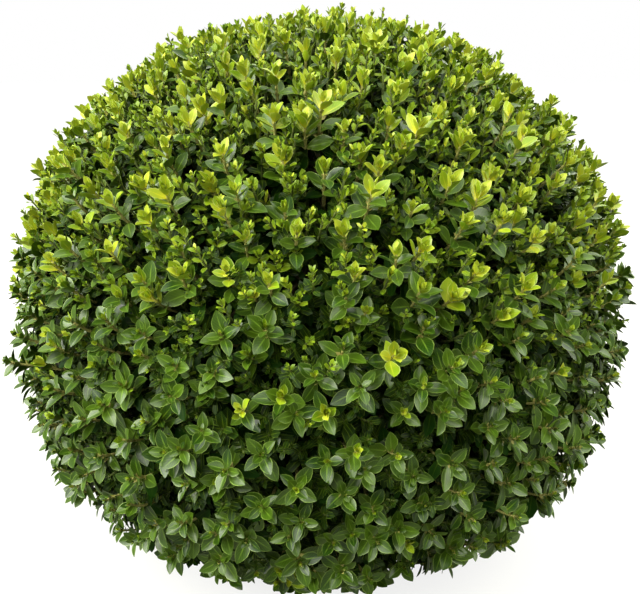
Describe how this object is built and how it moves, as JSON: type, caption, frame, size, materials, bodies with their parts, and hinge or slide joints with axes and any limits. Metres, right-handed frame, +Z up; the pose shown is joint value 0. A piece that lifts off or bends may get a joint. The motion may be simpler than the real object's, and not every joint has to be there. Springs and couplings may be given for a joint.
{
  "type": "box topiary ball",
  "caption": "Box shrub clipped to a slightly flattened ball, with a short flared stem forking into boughs under one dense leafy mass.",
  "frame": {"origin": "middle of the flat cut under the main stem, at ground level", "axes": "+Z straight up through the ball; +X to the right and +Y away from a viewer who faces the plant's front, which is the -Y side"},
  "size_m": [0.6176, 0.6202, 0.5436],
  "materials": {
    "bark": "rough",
    "foliage": "satin"
  },
  "bodies": {
    "root": {"main_stem": "bark", "bough_1": "bark", "bough_2": "bark", "bough_3": "bark", "bough_4": "bark", "bough_5": "bark", "foliage_ball": "foliage"}
  },
  "joints": []
}
